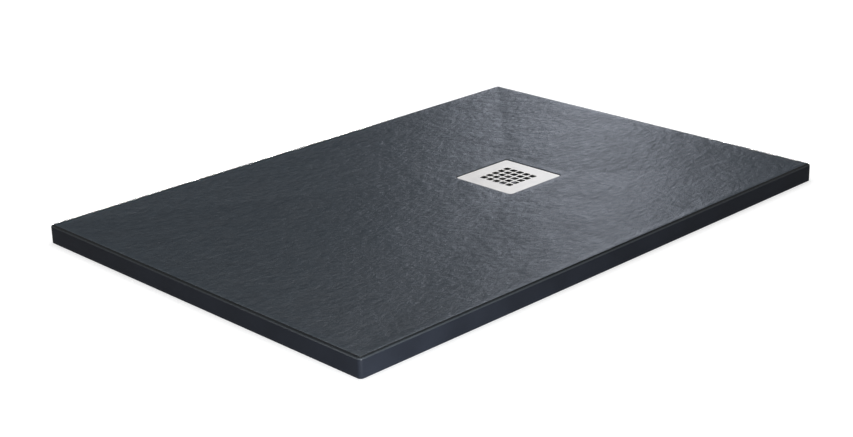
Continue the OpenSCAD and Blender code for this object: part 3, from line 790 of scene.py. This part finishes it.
def build_knob(sizes, finish):
    """The lifting knob, snapped through the basket: a profile carried round the waste's axis.
    Where cos(n a) is above 0, the head's radius is less by its square times a scallop's depth."""
    base, top, head = span("strainer_knob")
    pin = sizes.knob_pin / MM

    def scalloped(angle, radius, z):
        cut = np.maximum(np.cos(sizes.scallops * angle), 0) ** 2
        return radius - sizes.scallop_depth * cut * soft_step(radius, 5.5 * MM, 6.6 * MM)

    shell = Shell()
    turned(shell, [
        (0, base, 0), (3, base, 0.25), (4.2, base + 0.8, 0.2), (4.2, base + 1.2, 0.1),
        (pin, base + 1.2, 0.1), (pin, base + 2, 0.1), (5, base + 2, 0.2), (5, base + 2.8, 0.3),
        (3, base + 3.8, 0.6), (3, top - 3.2, 0.6), (6.2, top - 2.6, 0.4), (head, top - 1.8, 0.4),
        (head, top - 0.8, 0.4), (6.2, top, 0.5), (4.6, top, 0.6), (3.4, top - 0.4, 0.8),
        (0, top - 0.4, 0)], 160, False, shape=scalloped)
    shell.piece("lift_knob", "strainer", "dark_plastic", "strainer_knob", finish)


# ---- Waste flange ----

def build_flange(sizes, finish):
    """The clamp flange: four sectors with a countersunk hole each, plain sectors between them,
    and its inner and outer edges as profiles carried round the waste's axis."""
    base, top, outer = span("waste_flange")
    bore, place = sizes.bore / MM, sizes.screw_place / MM
    near, far = place - 5.2, place + 5.2
    path = ((4.5, top), (4.3, top), (4.05, top - 0.08), (2.2, top - 1.95), (2.15, top - 2.1),
            (2.15, base + 0.15), (2.3, base))
    side, half_turn = math.pi / 2, math.radians(10)
    turns = side / 2 + side * np.arange(4)
    shell = Shell()
    punched_ring(shell, near, far, place, half_turn, 8, turns, path)
    angle = np.linspace(half_turn, side - half_turn, 29)[:, None]
    radius = np.linspace(near, far, 5)
    for turn in turns:
        for z in (base, top):
            plain = points_of(radius * np.cos(angle), radius * np.sin(angle), z)
            shell.loops(plain * MM, turn, closed=False)
    for border, edge, soft in ((far, outer, 0.9), (near, bore, 0.5)):
        turned(shell, [(border, top, 0), (edge, top, soft), (edge, base, 0.3), (border, base, 0)],
               144, False)
    shell.piece("clamp_flange", "tray", "stainless_steel", "waste_flange", finish)


# ---- Siphon ----

def build_siphon(sizes, plastic, rubber):
    """The funnel with its tube and lifting bar, the lip seal in its groove, and the cup on three
    fins: profiles carried round the waste's axis, and rounded blocks."""
    end, top, collar = span("dip_tube")
    groove, tube = sizes.groove / MM, sizes.tube / MM
    bore, seat = tube - 2, top - 6
    shell = Shell()
    turned(shell, [
        (groove - 2.4, top, 0.5), (collar, top, 0.5), (collar, top - 1.5, 0.3),
        (groove, top - 1.5, 0.15), (groove, top - 4.5, 0.15), (collar, top - 4.5, 0.3),
        (collar, seat, 0.3), (groove + 0.1, seat, 1), (tube, seat - 6, 3), (tube, end, 0.6),
        (bore, end, 0.6), (bore, seat - 3, 3)], 120)
    slab(shell, (-1.5, -24, seat - 1), (1.5, 24, top - 2), sizes.edge)
    shell.piece("siphon_tube", "siphon", "white_plastic", "dip_tube", plastic)

    base, top, lip = span("dip_tube_seal")
    shell = Shell()
    turned(shell, [
        (groove, base, 0.2), (lip - 0.65, base, 0.3), (lip, base + 0.7, 0.25),
        (lip - 0.75, base + 1.5, 0.2), (lip, base + 2.3, 0.25), (lip - 0.65, top, 0.3),
        (groove, top, 0.2)], 120)
    shell.piece("insert_seal", "siphon", "black_rubber", "dip_tube_seal", rubber)

    base, rim, cup = span("water_cup")
    shell = Shell()
    turned(shell, [
        (0, base, 0), (cup, base, 2.5), (cup, rim, 0.9), (cup - 2, rim, 0.9),
        (cup - 2, base + 2, 2), (0, base + 2, 0)], 120, False)
    for turn in (30, 150, 270):
        slab(shell, (tube, -1, base + 13), (cup - 1, 1, rim - 5), sizes.edge, math.radians(turn))
    shell.piece("seal_cup", "siphon", "white_plastic", "water_cup", plastic)


# ---- Outlet ----

def build_nut(sizes, finish):
    """The compression nut: a profile carried round the outlet's axis. Where cos(n a) nears 1 and
    between its ends, the outer radius is larger by a rib's height, with soft flanks."""
    low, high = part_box("outlet_nut")
    start, end = (low.x - WASTE_X) / MM, (high.x - WASTE_X) / MM
    body, from_rib, to_rib = sizes.nut / MM, start + 1.9, end - 1.9

    def ribbed(angle, radius, z):
        z, radius_mm = z / MM, radius / MM
        along = soft_step(z, from_rib - 0.3, from_rib + 0.3)
        along = along * (1 - soft_step(z, to_rib - 0.3, to_rib + 0.3))
        outside = soft_step(radius_mm, body - 0.5, body - 0.1)
        near_rib = soft_step(np.cos(sizes.ribs * angle), 0.6, 0.9)
        return radius + sizes.rib_height * along * outside * near_rib

    shell = Shell()
    turned(shell, [
        (body - 4, start, 0.3), (body - 1, start, 0.4), (body, start + 1, 0.4),
        (body, from_rib - 0.2, 0), (body, from_rib + 0.4, 0), (body, to_rib - 0.4, 0),
        (body, to_rib + 0.2, 0), (body, end - 1, 0.4), (body - 1, end, 0.4), (20.45, end, 0.5),
        (20.45, end - 3, 0.2), (body - 4, end - 3, 0.2)], 240, shape=ribbed,
        along_x=(low.z + high.z) / 2)
    shell.piece("ribbed_nut", "tray", "dark_plastic", "outlet_nut", finish)


# ---- Finishes ----

def cover_solids(finish, *names):
    """Gives solids of the frame that finish."""
    for name in names:
        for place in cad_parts[name].material_slots:
            place.material = finish


def slate_finish(sizes):
    """Satin gelcoat over slate clefts: painted shade in the clefts, random tone, a fine mineral
    grain.
    """
    coat = Coat("slate_gelcoat", Specular_IOR_Level=0.5)
    relief = coat.node("Attribute", output="Fac", attribute_name="relief")
    cloud = coat.noise(11)
    ripple = coat.noise(120, 5, 0.65, at=coat.drawn(1.67))
    grain = coat.noise(700, 3, 0.6)
    patches = coat.noise(24, 2, 0.4)
    # Painted shade: darker where the relief is deep and the ripples low; the cloud adds random
    # tone.
    height = (1 - relief) * 0.6 + ripple * 0.9 + cloud * 0.2 - 0.5
    colour = height.ramp(0.0, 0.9).pick(sizes.colour_deep_shade, sizes.colour_high)
    rough = 0.30 + 0.12 * relief + 0.14 * ripple - 0.05 * cloud
    return coat.dress(colour, rough, (patches, 1.5), (ripple, 1.5), (grain, 0.05))


def side_finish(sizes):
    """The same gelcoat where it is smooth, on the sides and in the recess, in painted shade."""
    coat = Coat("gelcoat_side", Specular_IOR_Level=0.03)
    cloud = coat.noise(14)
    pores = coat.noise(700, 2, 0.6)
    orange = coat.noise(120, 2)
    # Painted shade: the side colour is a darker copy of the gelcoat's; the cloud adds random tone.
    colour = cloud.shade(0.3, 0.7, sizes.colour_side_shade, 0.75)
    return coat.dress(colour, 0.42 + 0.1 * cloud + 0.08 * pores, (orange, 0.08), (pores, 0.01))


def arris_finish(sizes):
    """Polished gelcoat on the arris, in painted shade, with an uneven painted highlight along its
    lower half.
    """
    coat = Coat("gelcoat_arris", Specular_IOR_Level=0.12)
    cloud = coat.noise(14)
    highlight_noise = coat.noise(90, 4, 0.6)
    orange = coat.noise(120, 2)
    # Painted highlight: a paler line along the arris's lower half, broken up by noise.
    painted_highlight = (RIM_Z - coat.part("Z")).ramp(1.2 * MM, 2.3 * MM) * (0.4 + highlight_noise)
    colour = painted_highlight.pick(sizes.colour_arris_painted_dark, sizes.colour_arris_painted_highlight)
    return coat.dress(colour, 0.15 + 0.1 * cloud + 0.15 * painted_highlight, (orange, 0.08), (highlight_noise, 0.02))


def grate_finish(sizes):
    """Satin steel: brushed along the plate, then blasted, with faint water marks. The punched
    walls and the underside, below the rounding, are painted dark as shade inside the holes."""
    coat = Coat("grate_steel", Metallic=1.0)
    brush = coat.noise(1200, 3, 0.6, at=coat.drawn(33))
    grain = coat.noise(2500, 2, 0.6)
    marks = coat.noise(45, 4, 0.6)
    colour = (0.5 * brush + 0.5 * marks).shade(0.3, 0.7, sizes.colour, 0.9)
    # Painted shade: below the rounding, the steel takes the dark shade colour.
    cut = (GRATE_HIGH.z - coat.part("Z")).ramp(0.15 * MM, 0.3 * MM)
    colour = cut.pick(colour, sizes.colour_hole_shade)
    return coat.dress(colour, 0.44 + 0.12 * brush + 0.1 * marks, (brush, 0.012), (grain, 0.006))


def resin_finish(sizes):
    """Cast resin filled with mineral: pale and dark grains, pores, and a faint cloud."""
    coat = Coat("cast_resin", Specular_IOR_Level=0.4)
    cloud = coat.noise(25, 4)
    grain = coat.node("SeparateColor", {"Color": coat.cells(900, "Color")})
    pores = coat.cells(300).ramp(0.28, 0.12)
    mix = 0.55 * grain + 0.45 * cloud - 0.6 * pores
    colour = mix.shade(0.25, 0.75, sizes.colour_core, 0.6)
    return coat.dress(colour, 0.62 + 0.2 * grain + 0.1 * pores, (1 - pores, 0.25), (grain, 0.04))


def fibre_finish(sizes):
    """Chopped strands of glass in clear resin: strands along four directions, paler where
    they lie on top, and a glossy skin between them."""
    coat = Coat("fibreglass", Specular_IOR_Level=0.5)
    strands = 0
    for turn in (0.2, 0.9, 1.8, 2.5):
        at = coat.drawn(14, (0, 0, turn))
        strands = coat.noise(420, 2, 0.6, 0.6, at=at).ramp(0.52, 0.7) * 0.35 + strands
    cloud = coat.noise(18)
    colour = (strands + 0.3 * cloud).shade(0.05, 0.9, sizes.colour_backing, 0.55)
    return coat.dress(colour, 0.32 + 0.3 * strands + 0.1 * cloud, (strands, 0.3), (cloud, 0.4))


def turned_finish(name, colour, rough):
    """Stainless steel pressed and polished in a lathe: fine marks round the waste's axis, from
    noise of the distance to it, and dried drops."""
    coat = Coat(name, Metallic=1.0)
    east, north = coat.part("X") - WASTE_X, coat.part("Y")
    height = coat.part("Z")
    radius = (east * east + north * north) ** 0.5
    across = coat.node("CombineXYZ", {"X": radius + 0.7 * height, "Y": 0.3 * height})
    marks = coat.noise(2600, 3, 0.7, at=across)
    broad = coat.noise(300, 2, at=across)
    drops = coat.noise(60, 4, 0.6).ramp(0.55, 0.75)
    colour = (0.5 * marks + 0.3 * broad + 0.35 * drops).shade(0.8, 0.2, colour, 0.78)
    return coat.dress(colour, rough + 0.14 * marks + 0.12 * drops, (marks, 0.012), (broad, 0.02))


def rubber_finish(sizes):
    """Moulded rubber: matt, with a pale bloom in patches, dust specks and a fine texture."""
    coat = Coat("black_rubber", Specular_IOR_Level=0.35)
    bloom = coat.noise(90, 4, 0.6).ramp(0.42, 0.75)
    specks = coat.cells(800).ramp(0.22, 0.1)
    texture = coat.noise(2200, 2, 0.6)
    pale = [2.6 * channel + 0.006 for channel in sizes.colour]
    colour = (0.6 * bloom + 0.3 * specks).pick(sizes.colour, pale)
    return coat.dress(colour, 0.58 + 0.2 * bloom + 0.08 * texture, (texture, 0.02), (bloom, 0.02))


def moulded_finish(name, colour, rough, texture=0.02, seam=False):
    """Moulded plastic: a faint cloud in its colour, scuffs, a spark-eroded texture, and with a
    seam the thin raised line along y = 0 where the mould parted."""
    coat = Coat(name, Specular_IOR_Level=0.45)
    cloud = coat.noise(35)
    fine = coat.noise(1500, 3, 0.6)
    scuffs = coat.noise(500, 2, 0.7, 0.8, at=coat.drawn(8, (0.3, 0.2, 0.9))).ramp(0.6, 0.75)
    colour = (0.7 * cloud + 0.3 * fine).shade(0.3, 0.7, colour, 0.82)
    layers = [(fine, texture), (cloud, 0.15)]
    if seam:
        layers.append((abs(coat.part("Y")).ramp(0.25 * MM, 0.08 * MM), 0.12))
    return coat.dress(colour, rough + 0.1 * cloud + 0.12 * scuffs, *layers)


def brass_finish(sizes):
    """Knurled brass: two crossing sets of grooves, duller in the grooves, with tarnish."""
    coat = Coat("insert_brass", Metallic=1.0)
    tarnish = coat.noise(260, 4, 0.6)
    across, height = coat.part("X") + coat.part("Y"), coat.part("Z")
    pace = 5200
    knurl = 0.5 + 0.25 * (((across + height) * pace).sine() + ((across - height) * pace).sine())
    colour = (0.6 * tarnish + 0.4 * (1 - knurl)).shade(0.75, 0.3, sizes.colour_inserts, 0.5)
    return coat.dress(colour, 0.26 + 0.25 * tarnish, (knurl, 0.12), (tarnish, 0.01))


# ---- Stage ----

def lamp(name, place, target, size, watts, colour=(1, 1, 1)):
    """A soft lamp of that width and height that looks at the target."""
    data = bpy.data.lights.new(name, "AREA")
    data.shape, data.energy, data.color = "RECTANGLE", watts, colour
    data.size, data.size_y = size
    made = placed(name, data)
    made.location = place
    made.rotation_euler = (Vector(target) - Vector(place)).to_track_quat("-Z", "Y").to_euler()
    made.visible_camera = False


def build_room(sizes):
    """Even room light. Straight and clear rays see it white; mirror rays see a backdrop that is
    darker the nearer they go to straight ahead."""
    world = bpy.data.worlds.new("room")
    bpy.context.scene.world = world
    world.use_nodes = True
    room = Finish(world.node_tree)
    world.node_tree.nodes.clear()
    seen, mirror, clear = (room.ray(kind) for kind in ("Camera", "Glossy", "Transmission"))
    ahead = Vector((0.69, 0.72, 0.0))
    inputs = {0: room.node("TexCoord", output="Generated"), 1: ahead}
    facing = room.node("VectorMath", inputs, "Value", operation="DOT_PRODUCT")
    backdrop = facing.ramp(0.96, 0.4) * 0.6 + 0.02
    strength = sizes.ambient * (1 - mirror) + backdrop * mirror
    strength = seen.highest(clear) + strength * (1 - seen.highest(clear))
    shader = room.node("Background", {"Color": (1, 1, 1), "Strength": strength})
    room.node("OutputWorld", {"Surface": shader})


def build_floor(sizes):
    """A pale floor at the tray's underside. Rings of a square loop go from far away in to a pit
    that the trap hangs in, down its wall and over its bottom."""
    far, near, pit, level = 30.0, 1.2, 0.13, -0.2 * MM
    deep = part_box("trap_body")[0].z - 0.05
    loop = square_loop(even(12))
    rows = [(far, level), (near, level), (pit, level), (pit, deep), (1e-4, deep)]
    shell = Shell()
    shell.cover(shell.add([raised(loop * half + (WASTE_X * (half < near), 0), z)
                           for half, z in rows]))
    coat = Coat("pale_floor", Roughness=0.9, Specular_IOR_Level=0.0, Emission_Strength=1.0)
    seen, mirror, clear = (coat.ray(kind) for kind in ("Camera", "Glossy", "Transmission"))
    shown = seen.highest(mirror).highest(clear)
    away = coat.node("VectorMath", {0: coat.place}, "Value", operation="LENGTH")
    glow = 0.55 + 0.45 * away.ramp(0.75, 1.6) * seen
    coat.set(Base_Color=shown.pick((0.25, 0.25, 0.25), sizes.floor_colour),
             Emission_Color=shown * glow)
    made = placed("floor", shell.mesh("floor", coat.material))


def build_camera(sizes):
    """The camera, turned so that it looks that way with that direction to its right."""
    data = bpy.data.cameras.new("camera")
    data.lens, data.sensor_width = sizes.lens, 36
    data.clip_end = 200
    made = placed("camera", data)
    place = Vector((-1.72083, -1.73336, 0.90574))
    look = Vector((0.651683, 0.671767, -0.352191)).normalized()
    right = Vector((0.711157, -0.702614, -0.024259))
    right = (right - right.dot(look) * look).normalized()
    up = right.cross(look)
    turn = Matrix((right, up, -look)).transposed().to_4x4()
    made.matrix_world = Matrix.Translation(place) @ turn
    bpy.context.scene.camera = made


# ---- Operators ----

class TRAY_OT_stage(bpy.types.Operator):
    """Lays the floor, lights the room and places the camera"""

    bl_idname = "tray.stage"
    bl_label = "Stage"

    def execute(self, context):
        sizes = context.scene.tray_stage
        build_camera(sizes)
        build_room(sizes)
        build_floor(sizes)
        lamp("overhead_lamp", (0.1, 0.2, 2.6), (0, 0, 0), (2.4, 2.4), sizes.overhead)
        lamp("back_window", (2.50, 1.85, 0.96), (0.3, 0, 0), (0.28, 0.34), sizes.window,
             (0.84, 0.88, 1.0))
        lamp("front_lamp", (-0.75, -0.95, 0.03), (-0.5, -0.35, 0.01), (0.4, 0.06), sizes.front,
             (0.92, 0.97, 1.0))
        lamp("side_lamp", (-1.5, 0.3, 0.06), (-0.5, 0.2, 0.01), (0.8, 0.1), sizes.side)
        lamp("back_lamp", (0.3, 1.15, 0.013), (0.1, 0.35, 0.013), (1.0, 0.024), sizes.back)
        lamp("end_lamp", (1.3, 0.1, 0.013), (0.5, 0.05, 0.013), (0.6, 0.024), sizes.end)
        context.scene.view_settings.view_transform = "Standard"
        return {"FINISHED"}


class TRAY_OT_slate_face(bpy.types.Operator):
    """Builds the slate-effect gelcoat with its relief"""

    bl_idname = "tray.slate_face"
    bl_label = "Slate face"

    def execute(self, context):
        sizes = context.scene.tray_surface
        build_slate(sizes, slate_finish(sizes), side_finish(sizes), arris_finish(sizes))
        return {"FINISHED"}


class TRAY_OT_slab_layers(bpy.types.Operator):
    """Finishes the resin core and the glass-fibre backing"""

    bl_idname = "tray.slab_layers"
    bl_label = "Slab layers"

    def execute(self, context):
        sizes = context.scene.tray_surface
        cover_solids(resin_finish(sizes), "resin_core")
        cover_solids(fibre_finish(sizes), "fibreglass_backing")
        return {"FINISHED"}


class TRAY_OT_grate(bpy.types.Operator):
    """Builds the pressed grate and its rubber feet, and finishes the studs"""

    bl_idname = "tray.grate"
    bl_label = "Grate"

    def execute(self, context):
        sizes, waste = context.scene.tray_grate, context.scene.tray_waste
        build_grate(sizes, grate_finish(sizes))
        build_feet(sizes, rubber_finish(waste))
        cover_solids(turned_finish("stud_steel", waste.colour_screws, 0.3), "grate_studs")
        return {"FINISHED"}


class TRAY_OT_strainer(bpy.types.Operator):
    """Builds the hair strainer and its knob"""

    bl_idname = "tray.strainer"
    bl_label = "Hair strainer"

    def execute(self, context):
        sizes = context.scene.tray_strainer
        build_strainer(sizes, turned_finish("strainer_steel", sizes.colour, 0.26))
        build_knob(sizes, moulded_finish("knob_plastic", sizes.colour_knob, 0.38))
        return {"FINISHED"}


class TRAY_OT_flange(bpy.types.Operator):
    """Builds the clamp flange and finishes its screws and the two gaskets"""

    bl_idname = "tray.flange"
    bl_label = "Clamp flange"

    def execute(self, context):
        sizes = context.scene.tray_waste
        # The flange's colour is painted shade under the grate.
        build_flange(sizes, turned_finish("flange_steel", sizes.colour_flange_shade, 0.36))
        cover_solids(turned_finish("screw_steel", sizes.colour_screws, 0.2), "flange_screws")
        cover_solids(rubber_finish(sizes), "upper_gasket", "lower_gasket")
        return {"FINISHED"}


class TRAY_OT_siphon(bpy.types.Operator):
    """Builds the siphon's funnel, its seal and its cup"""

    bl_idname = "tray.siphon"
    bl_label = "Siphon"

    def execute(self, context):
        sizes = context.scene.tray_waste
        plastic = moulded_finish("white_plastic", sizes.colour_siphon, 0.3, 0.008)
        build_siphon(sizes, plastic, rubber_finish(sizes))
        return {"FINISHED"}


class TRAY_OT_trap(bpy.types.Operator):
    """Builds the outlet's nut and finishes the trap, its inserts and the outlet's rings"""

    bl_idname = "tray.trap"
    bl_label = "Trap and outlet"

    def execute(self, context):
        sizes = context.scene.tray_waste
        dark = context.scene.tray_strainer.colour_knob
        build_nut(sizes, moulded_finish("nut_plastic", dark, 0.42))
        trap = moulded_finish("trap_plastic", sizes.colour_trap, 0.45, 0.03, seam=True)
        ring = moulded_finish("ring_plastic", sizes.colour_siphon, 0.35, 0.01)
        cover_solids(trap, "trap_body")
        cover_solids(brass_finish(sizes), "threaded_inserts")
        cover_solids(rubber_finish(sizes), "outlet_cone_seal")
        cover_solids(ring, "outlet_slip_ring")
        return {"FINISHED"}


class TRAY_PT_pieces(bpy.types.Panel):
    """Lists the settings and the pieces"""

    bl_idname = "TRAY_PT_pieces"
    bl_label = "Slate shower tray"
    bl_space_type = "VIEW_3D"
    bl_region_type = "UI"
    bl_category = "Tray"

    def draw(self, context):
        for name in SETTINGS:
            box, sizes = self.layout.box(), getattr(context.scene, name)
            for setting in sizes.__annotations__:
                box.prop(sizes, setting)
        for operator in OPERATORS:
            self.layout.operator(operator.bl_idname)


SETTINGS = {
    "tray_stage": StageSettings,
    "tray_surface": TraySurfaceSettings,
    "tray_grate": GrateSettings,
    "tray_strainer": StrainerSettings,
    "tray_waste": WasteSettings,
}
OPERATORS = (TRAY_OT_stage, TRAY_OT_slate_face, TRAY_OT_slab_layers, TRAY_OT_grate,
             TRAY_OT_strainer, TRAY_OT_flange, TRAY_OT_siphon, TRAY_OT_trap)
CLASSES = (*SETTINGS.values(), *OPERATORS, TRAY_PT_pieces)


def register():
    for cls in CLASSES:
        bpy.utils.register_class(cls)
    for name, settings in SETTINGS.items():
        setattr(bpy.types.Scene, name, PointerProperty(type=settings))


def unregister():
    for name in SETTINGS:
        delattr(bpy.types.Scene, name)
    for cls in reversed(CLASSES):
        bpy.utils.unregister_class(cls)


def main():
    register()
    bpy.ops.tray.stage()
    bpy.ops.tray.slate_face()
    bpy.ops.tray.slab_layers()
    bpy.ops.tray.grate()
    bpy.ops.tray.strainer()
    bpy.ops.tray.flange()
    bpy.ops.tray.siphon()
    bpy.ops.tray.trap()


if __name__ == "__main__":
    main()
